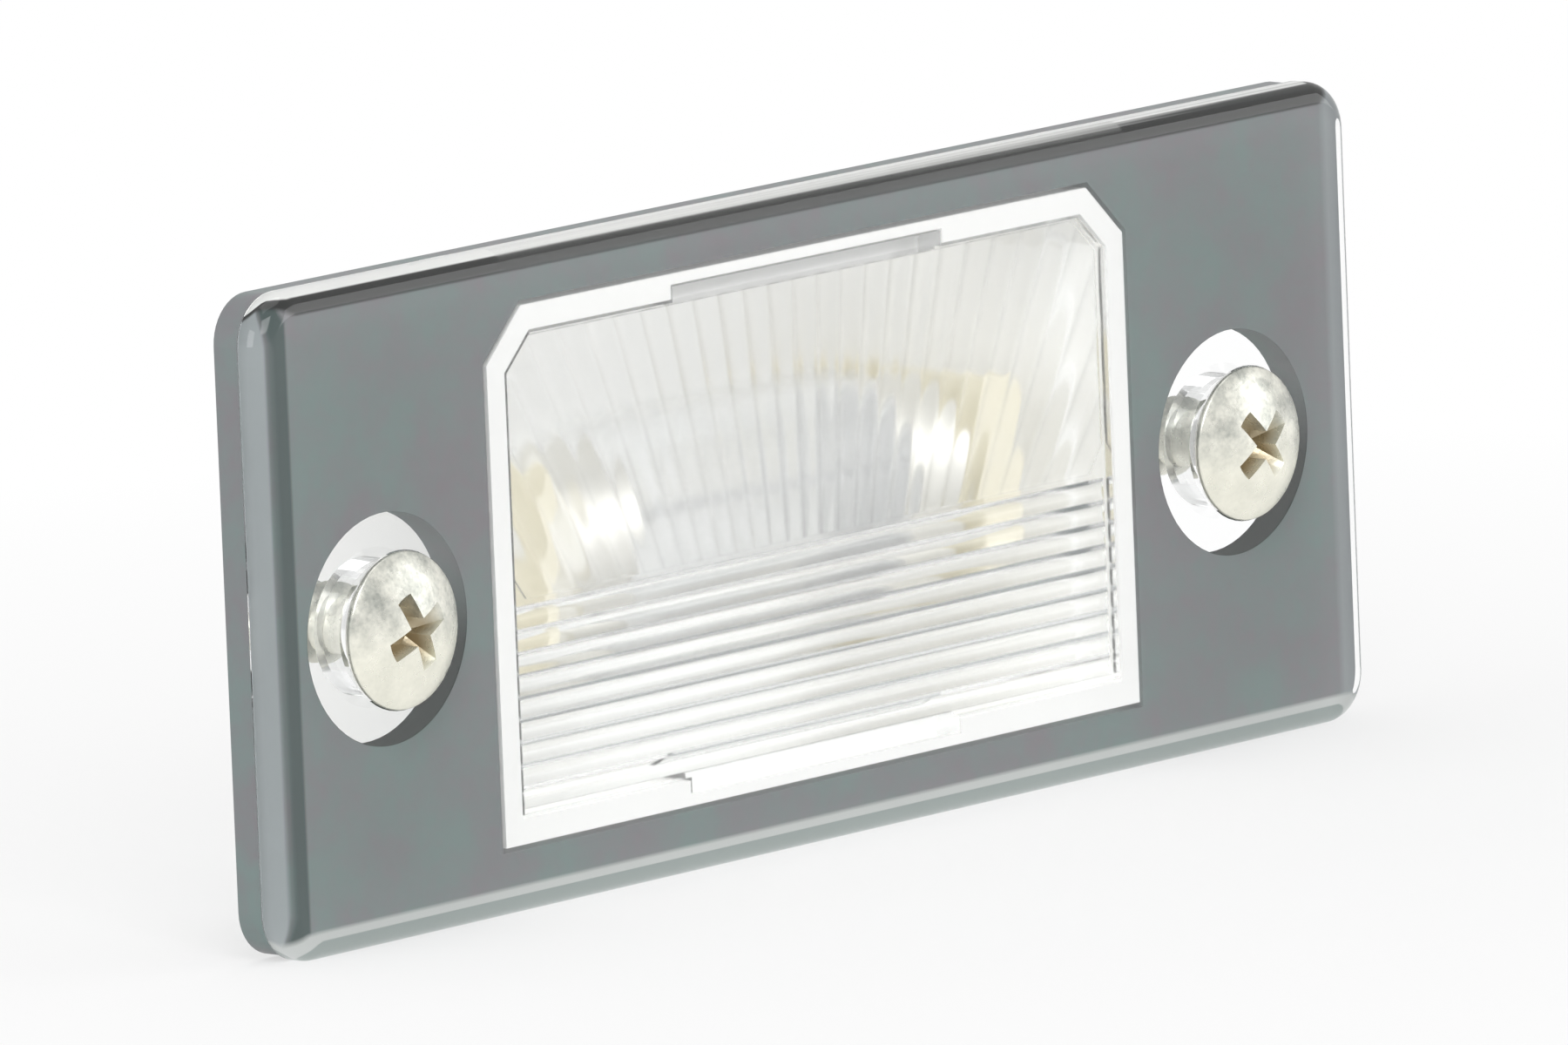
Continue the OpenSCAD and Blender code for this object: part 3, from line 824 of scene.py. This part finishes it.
LAMP_WIRE = SolidFinish(
    "drawn_wire", colour=(0.42, 0.42, 0.43), second=(0.30, 0.30, 0.32), blotch=900.0, amount=0.5,
    roughness=0.4, spread=0.2, metallic=1.0)
ZINC = DrivenFinish(
    "zinc_plated_steel", colour=(0.90, 0.89, 0.80), second=(0.34, 0.36, 0.33), blotch=800.0, amount=0.9,
    roughness=0.30, spread=0.4, grain=1500.0, relief=2.5e-5, metallic=0.7)


# Mesh helpers


def soften(mesh: bpy.types.Mesh, angle: float) -> None:
    """Shades a mesh smooth, with a sharp edge wherever its faces meet at more than an angle.

    Args:
        mesh: The mesh.
        angle: The angle in degrees.
    """
    work = bmesh.new()
    work.from_mesh(mesh)
    for face in work.faces:
        face.smooth = True
    for edge in work.edges:
        edge.smooth = len(edge.link_faces) == 2 and edge.calc_face_angle(0.0) < math.radians(angle)
    work.to_mesh(mesh)
    work.free()


def make_piece(name: str, work: bmesh.types.BMesh, angle: float = 35.0) -> bpy.types.Object:
    """Turns finished bmesh work into a piece of the scene.

    Args:
        name: The piece's name.
        work: The geometry, which is freed.
        angle: Above this angle in degrees an edge stays sharp.

    Returns:
        The new object, at the origin.
    """
    mesh = bpy.data.meshes.new(name)
    work.to_mesh(mesh)
    work.free()
    soften(mesh, angle)
    piece = bpy.data.objects.new(name, mesh)
    bpy.context.scene.collection.objects.link(piece)
    return piece


def node_copy(name: str) -> bmesh.types.BMesh:
    """Copies a CAD node's mesh and merges its loose triangles.

    Args:
        name: The node's name.

    Returns:
        The merged copy.
    """
    work = bmesh.new()
    work.from_mesh(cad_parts[name].data)
    bmesh.ops.remove_doubles(work, verts=work.verts, dist=MERGE_DISTANCE)
    return work


def flat_faces_flat(piece: bpy.types.Object, weight: int = 100) -> None:
    """Keeps the large flat faces evenly shaded beside the rounded edges.

    Args:
        piece: The piece.
        weight: How strongly large faces lead the shading, 50 for not at all.
    """
    weighted = piece.modifiers.new("even_shading", "WEIGHTED_NORMAL")
    weighted.keep_sharp = True
    weighted.weight = weight


def dress(piece: bpy.types.Object, finish: SolidFinish | ClearFinish) -> None:
    """Gives a piece its one finish."""
    piece.data.materials.clear()
    piece.data.materials.append(finish.material())


def stand_in(piece: bpy.types.Object, node: str, finish: SolidFinish | ClearFinish) -> None:
    """Lets a piece stand for a CAD node.

    Args:
        piece: The piece, in place.
        node: The CAD node that it replaces.
        finish: Its finish.
    """
    dress(piece, finish)
    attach(piece, "root")
    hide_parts(node)
    LOG.info("%s replaces %s with %d faces", piece.name, node, len(piece.data.polygons))


# The lamp's pieces


@dataclass
class LensPlate:
    """Clear moulded plate with its optic bars.

    Attributes:
        press: How far it is pressed into the soft seal, so that no film of air is left between them.
        crest_angle: Facets of one bar below this angle in degrees are shaded as one curve.
    """

    press: float = 0.02 * MM
    crest_angle: float = 36.0

    def build(self) -> bpy.types.Object:
        """Copies the plate's solid with curved bars, pressed on the seal.

        Returns:
            The lens.
        """
        work = node_copy("lens")
        bmesh.ops.translate(work, verts=work.verts, vec=(0.0, self.press, 0.0))
        lens = make_piece("lens_plate", work, self.crest_angle)
        flat_faces_flat(lens)
        stand_in(lens, "lens", LENS_PLASTIC)
        return lens


@dataclass
class Screw:
    """Tapping screw with a rounded head and a real thread.

    Attributes:
        side: Which end of the lamp it holds.
        thread_r: Outer radius of the thread.
        core_r: Radius between its turns.
        pitch: Rise of one turn.
        point: Length of the tapered point.
        tip_r: Radius of the blunt tip.
        turn_steps: Faces round one turn.
        ridge_foot: Share of the pitch that the ridge's foot takes.
        ridge_sunk: How deep the foot is sunk into the core.
        bare_turns: Turns by which the thread is shorter than the shank.
        core_cuts: Rings of points along the core.
        core_edge: Share of the length beyond which an edge runs along the core.
        neck: How far before the panel plane the head ends.
        edge_r: Rounding of the head's edges.
        edge_steps: Faces across that rounding.
        edge_angle: Edges sharper than this angle in degrees are rounded.
        edge_from: Radius beyond which they are.
        smooth_angle: Facets below this angle in degrees are shaded as one curve.
        axis_x: Where the screw's axis is.
        length: Length behind the panel plane.
    """

    side: Side
    thread_r: float = 1.95 * MM
    core_r: float = 1.42 * MM
    pitch: float = 1.35 * MM
    point: float = 2.4 * MM
    tip_r: float = 0.2 * MM
    turn_steps: int = 28
    ridge_foot: float = 0.72
    ridge_sunk: float = 0.05 * MM
    bare_turns: float = 0.7
    core_cuts: int = 24
    core_edge: float = 0.9
    neck: float = 0.05 * MM
    edge_r: float = 0.08 * MM
    edge_steps: int = 4
    edge_angle: float = 30.0
    edge_from: float = 3.5 * MM
    smooth_angle: float = 32.0
    axis_x: float = field(init=False)
    length: float = field(init=False)

    def __post_init__(self) -> None:
        """Takes the axis and the length from the solid."""
        low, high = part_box(self.side.node("screw"))
        self.axis_x = (low.x + high.x) / 2
        self.length = high.y

    def head(self) -> bmesh.types.BMesh:
        """Head and neck, cut from the solid before the panel plane, with its sharp edges rounded.

        Returns:
            The head's geometry.
        """
        work = node_copy(self.side.node("screw"))
        everything = [*work.verts, *work.edges, *work.faces]
        bmesh.ops.bisect_plane(work, geom=everything, plane_co=(0.0, -self.neck, 0.0),
                               plane_no=(0.0, 1.0, 0.0), clear_outer=True)
        sharp = math.radians(self.edge_angle)
        rim = [e for e in work.edges if len(e.link_faces) == 2 and e.calc_face_angle(0.0) > sharp
               and min(self.off_axis(v.co) for v in e.verts) > self.edge_from]
        bmesh.ops.bevel(work, geom=rim, offset=self.edge_r, segments=self.edge_steps, profile=0.5,
                        affect="EDGES", material=-1)
        return work

    def off_axis(self, point: Vector) -> float:
        """Distance of a point from the screw's axis."""
        return math.hypot(point.x - self.axis_x, point.z)

    def taper(self, y: float) -> float:
        """Narrows the shank to its point.

        Args:
            y: Depth behind the panel.

        Returns:
            Share of the full radius left there.
        """
        start = self.length - self.point
        if y <= start:
            return 1.0
        left = max(0.0, 1.0 - (y - start) / self.point)
        return (self.tip_r + (self.thread_r - self.tip_r) * left) / self.thread_r

    def thread(self) -> bmesh.types.BMesh:
        """Core and helical ridge behind the panel plane, narrowed to the point.

        Returns:
            The thread's geometry, in place.
        """
        work = bmesh.new()
        turns = self.length / self.pitch - self.bare_turns
        steps = int(turns * self.turn_steps)
        half = self.ridge_foot / 2 * self.pitch
        ridge = [work.verts.new((self.core_r - self.ridge_sunk, y, 0.0)) for y in (-half, half)]
        ridge.append(work.verts.new((self.thread_r, 0.0, 0.0)))
        wedge = work.faces.new(ridge)
        bmesh.ops.translate(work, verts=work.verts, vec=(0.0, half, 0.0))
        bmesh.ops.spin(work, geom=[wedge, *wedge.edges, *wedge.verts], cent=(0.0, 0.0, 0.0),
                       axis=(0.0, -1.0, 0.0), dvec=(0.0, turns * self.pitch / steps, 0.0),
                       angle=turns * math.tau, steps=steps, use_merge=False)
        middle = Matrix.Translation((0.0, self.length / 2, 0.0))
        bmesh.ops.create_cone(work, cap_ends=True, segments=self.turn_steps, radius1=self.core_r,
                              radius2=self.core_r, depth=self.length,
                              matrix=middle @ Matrix.Rotation(-math.pi / 2, 4, "X"))
        long = self.core_edge * self.length
        lengthwise = [e for e in work.edges if abs(e.verts[0].co.y - e.verts[1].co.y) > long]
        bmesh.ops.subdivide_edges(work, edges=lengthwise, cuts=self.core_cuts, use_grid_fill=True)
        for vert in work.verts:
            share = self.taper(vert.co.y)
            vert.co.x *= share
            vert.co.z *= share
        bmesh.ops.recalc_face_normals(work, faces=work.faces)
        bmesh.ops.translate(work, verts=work.verts, vec=(self.axis_x, 0.0, 0.0))
        return work

    def build(self) -> bpy.types.Object:
        """Joins head and thread into one screw.

        Returns:
            The screw.
        """
        work = self.head()
        shank = bpy.data.meshes.new("shank")
        thread = self.thread()
        thread.to_mesh(shank)
        thread.free()
        work.from_mesh(shank)
        bpy.data.meshes.remove(shank)
        screw = make_piece(self.side.node("tapping_screw"), work, self.smooth_angle)
        flat_faces_flat(screw)
        stand_in(screw, self.side.node("screw"), ZINC)
        return screw


@dataclass
class Bulb:
    """Festoon bulb: clear tube, plated caps and a wound coil.

    Attributes:
        coil_r: Radius of the coil's turns to the wire's middle.
        wire_r: Radius of the coil's wire.
        turns: Number of turns.
        turn_steps: Faces round one turn.
        wire_sides: Faces round the wire.
        coil_angle: Facets of the coil below this angle in degrees are shaded as one curve.
        glass_angle: The same for the glass.
    """

    coil_r: float = 0.22 * MM
    wire_r: float = 0.06 * MM
    turns: int = 26
    turn_steps: int = 12
    wire_sides: int = 6
    coil_angle: float = 60.0
    glass_angle: float = 40.0

    def coil(self) -> bpy.types.Object:
        """Winds the lamp's coil.

        Returns:
            The coil.
        """
        low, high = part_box("bulb_filament")
        work = bmesh.new()
        wire = Matrix.Translation((low.x + self.wire_r, 0.0, self.coil_r))
        bmesh.ops.create_circle(work, cap_ends=True, segments=self.wire_sides, radius=self.wire_r,
                                matrix=wire @ Matrix.Rotation(math.pi / 2, 4, "X"))
        steps = self.turns * self.turn_steps
        run = high.x - low.x - 2 * self.wire_r
        bmesh.ops.spin(work, geom=[*work.verts, *work.edges, *work.faces], cent=(0.0, 0.0, 0.0),
                       axis=(1.0, 0.0, 0.0), dvec=(run / steps, 0.0, 0.0), angle=self.turns * math.tau,
                       steps=steps, use_merge=False)
        bmesh.ops.recalc_face_normals(work, faces=work.faces)
        middle = (low + high) / 2
        bmesh.ops.translate(work, verts=work.verts, vec=(0.0, middle.y, middle.z))
        return make_piece("bulb_coil", work, self.coil_angle)

    def build(self) -> None:
        """Builds the glass and the coil, and plates the caps."""
        glass = make_piece("bulb_tube", node_copy("bulb_glass"), self.glass_angle)
        flat_faces_flat(glass)
        stand_in(glass, "bulb_glass", BULB_GLASS)
        stand_in(self.coil(), "bulb_filament", LAMP_WIRE)
        for side in Side:
            dress(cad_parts[side.node("bulb_cap")], NICKEL)
            dress(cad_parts[side.node("bulb_lead")], LAMP_WIRE)
            LOG.info("dressed the %s cap and lead", side.name.lower())


@dataclass
class Shell:
    """What the solids already shape: seal, housing and brass contacts.

    Attributes:
        finishes: The finish of each CAD node.
    """

    finishes: dict[str, SolidFinish] = field(default_factory=lambda: {
        "seal": SEAL_RUBBER, "housing": WHITE_PLASTIC, "contact_left": BRASS, "contact_right": BRASS,
    })

    def dress(self) -> None:
        """Gives each solid its finish."""
        for name, finish in self.finishes.items():
            dress(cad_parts[name], finish)
            LOG.info("dressed %s as %s", name, finish.name)


# Camera and studio


@dataclass(frozen=True)
class PhotoCamera:
    """Camera of the photograph, fitted to the lamp's edges.

    Attributes:
        azimuth: Degrees that it stands to the left of the lamp's front.
        elevation: Degrees above the lamp.
        roll: Degrees that it is turned clockwise.
        distance: Metres from the lamp.
        focal: Focal length in pixels of the 1800 by 1200 frame.
        centre: Where the lamp's origin lies in that frame.
        frame_size: Width and height of that frame.
        sensor: Width of the sensor in millimetres.
        clip: Nearest and farthest distance in metres that it sees.
    """

    azimuth: float = 48.03
    elevation: float = 9.26
    roll: float = 2.3
    distance: float = 1.2
    focal: float = 29262.0
    centre: tuple[float, float] = (895.8, 608.3)
    frame_size: tuple[int, int] = (1800, 1200)
    sensor: float = 36.0
    clip: tuple[float, float] = (0.05, 20.0)

    def build(self) -> bpy.types.Object:
        """Places the camera.

        Returns:
            The camera.
        """
        data = bpy.data.cameras.new("photo_camera")
        width, height = self.frame_size
        data.sensor_width = self.sensor
        data.sensor_fit = "HORIZONTAL"
        data.lens = self.focal * self.sensor / width
        data.shift_x = (width / 2 - self.centre[0]) / width
        data.shift_y = (self.centre[1] - height / 2) / width
        data.clip_start, data.clip_end = self.clip
        camera = bpy.data.objects.new("photo_camera", data)
        bpy.context.scene.collection.objects.link(camera)
        side, up = math.radians(self.azimuth), math.radians(self.elevation)
        towards = Vector((-math.sin(side) * math.cos(up), -math.cos(side) * math.cos(up), math.sin(up)))
        aim = (-towards).to_track_quat("-Z", "Y").to_matrix().to_4x4()
        roll = Matrix.Rotation(-math.radians(self.roll), 4, "Z")
        camera.matrix_world = Matrix.Translation(towards * self.distance) @ aim @ roll
        bpy.context.scene.camera = camera
        return camera


@dataclass(frozen=True)
class SoftBox:
    """One square studio lamp aimed at the lamp.

    Attributes:
        name: Its name.
        place: Where it stands, in metres.
        size: Its side, in metres.
        power: Its power in watts.
    """

    name: str
    place: Triple
    size: float
    power: float

    def build(self) -> None:
        """Places the lamp."""
        data = bpy.data.lights.new(self.name, "AREA")
        data.shape = "SQUARE"
        data.size = self.size
        data.energy = self.power
        light = bpy.data.objects.new(self.name, data)
        bpy.context.scene.collection.objects.link(light)
        away = Vector(self.place)
        light.matrix_world = Matrix.Translation(away) @ (-away).to_track_quat("-Z", "Y").to_matrix().to_4x4()


@dataclass
class Studio:
    """Pale floor, white background and soft lamps.

    Attributes:
        floor_r: Radius of the floor.
        floor_sides: Corners of its edge.
        floor_colour: Its colour.
        ambient: Strength of the even light from all round.
        floor_shade: How much of the floor near the lamp is lit by the lamps, where the rest is plain white.
        fade: Distances between which the floor's shading fades to plain white.
        lamps: The soft boxes.
    """

    floor_r: float = 4.0
    floor_sides: int = 96
    floor_colour: Colour = (0.90, 0.90, 0.90)
    ambient: float = 0.62
    floor_shade: float = 0.45
    fade: tuple[float, float] = (0.03, 0.12)
    lamps: list[SoftBox] = field(default_factory=lambda: [
        SoftBox("key", (-0.45, -0.55, 0.55), 0.5, 3.0),
        SoftBox("fill", (0.60, -0.55, 0.20), 0.5, 1.2),
        SoftBox("top", (0.05, 0.10, 0.80), 0.6, 1.3),
        SoftBox("left", (-0.80, 0.25, 0.20), 0.5, 2.1),
    ])

    def seen_as_background(self, nodes: NodeTree) -> bpy.types.NodeSocket:
        """Mask of the rays that see the background: from the camera, from gloss and through glass.

        Args:
            nodes: The tree that asks.

        Returns:
            The mask's socket.
        """
        rays = nodes.add("LightPath", (-900, 500)).outputs
        first = nodes.math("ADD", (-650, 500), rays["Is Camera Ray"], rays["Is Glossy Ray"], clamp=True)
        return nodes.math("ADD", (-450, 500), first, rays["Is Transmission Ray"], clamp=True)

    def world(self) -> None:
        """Sets even light, and white where the background is seen."""
        world = bpy.data.worlds.new("studio_air")
        bpy.context.scene.world = world
        world.use_nodes = True
        world.node_tree.nodes.clear()
        nodes = NodeTree(world.node_tree)
        strength = nodes.ramp(self.seen_as_background(nodes), 0.0, 1.0, (-200, 200), self.ambient, 1.0)
        air = nodes.add("Background", (100, 0))
        out = nodes.add("OutputWorld", (350, 0))
        nodes.join(strength, air.inputs["Strength"])
        nodes.join(air.outputs["Background"], out.inputs["Surface"])

    def floor_material(self) -> bpy.types.Material:
        """Pale matt floor that fades to plain white away from the lamp.

        Returns:
            The material.
        """
        material, nodes = blank_material("studio_floor")
        reach = nodes.vector("LENGTH", (-700, 0), nodes.here((-900, 0)))
        near = nodes.ramp(reach, *self.fade, (-450, 0), self.floor_shade, 0.0)
        plain = nodes.math("SUBTRACT", (-200, 100), 1.0, near)
        rays = nodes.add("LightPath", (-450, -250))
        through = nodes.math("MAXIMUM", (-100, 300), plain, rays.outputs["Is Transmission Ray"])
        white = nodes.math("MULTIPLY", (0, 200), through, self.seen_as_background(nodes))
        matt = nodes.add("BsdfDiffuse", (0, -150))
        matt.inputs["Color"].default_value = (*self.floor_colour, 1.0)
        glow = nodes.add("Emission", (0, 0))
        mix = nodes.add("MixShader", (300, 0))
        out = nodes.add("OutputMaterial", (550, 0))
        nodes.feed(mix, white, matt.outputs["BSDF"], glow.outputs["Emission"])
        nodes.join(mix.outputs["Shader"], out.inputs["Surface"])
        return material

    def floor(self) -> None:
        """Lays the floor under the lamp's lowest edge."""
        work = bmesh.new()
        bmesh.ops.create_circle(work, cap_ends=True, segments=self.floor_sides, radius=self.floor_r,
                                matrix=Matrix.Translation((0.0, 0.0, CAD_BOX[0].z)))
        floor = make_piece("studio_floor", work)
        floor.data.materials.append(self.floor_material())

    def build(self) -> None:
        """Sets the view's transform, the world, the floor and the lamps."""
        bpy.context.scene.view_settings.view_transform = "Standard"
        self.world()
        self.floor()
        for lamp in self.lamps:
            lamp.build()
        LOG.info("studio: %d soft boxes, floor at %.1f mm", len(self.lamps), CAD_BOX[0].z / MM)


def main() -> None:
    """Builds the studio and the lamp's pieces in order."""
    logging.basicConfig(level=logging.INFO, format="%(name)s: %(message)s")
    PhotoCamera().build()
    Studio().build()
    LensPlate().build()
    Shell().dress()
    Bulb().build()
    for side in Side:
        Screw(side).build()


if __name__ == "__main__":
    main()
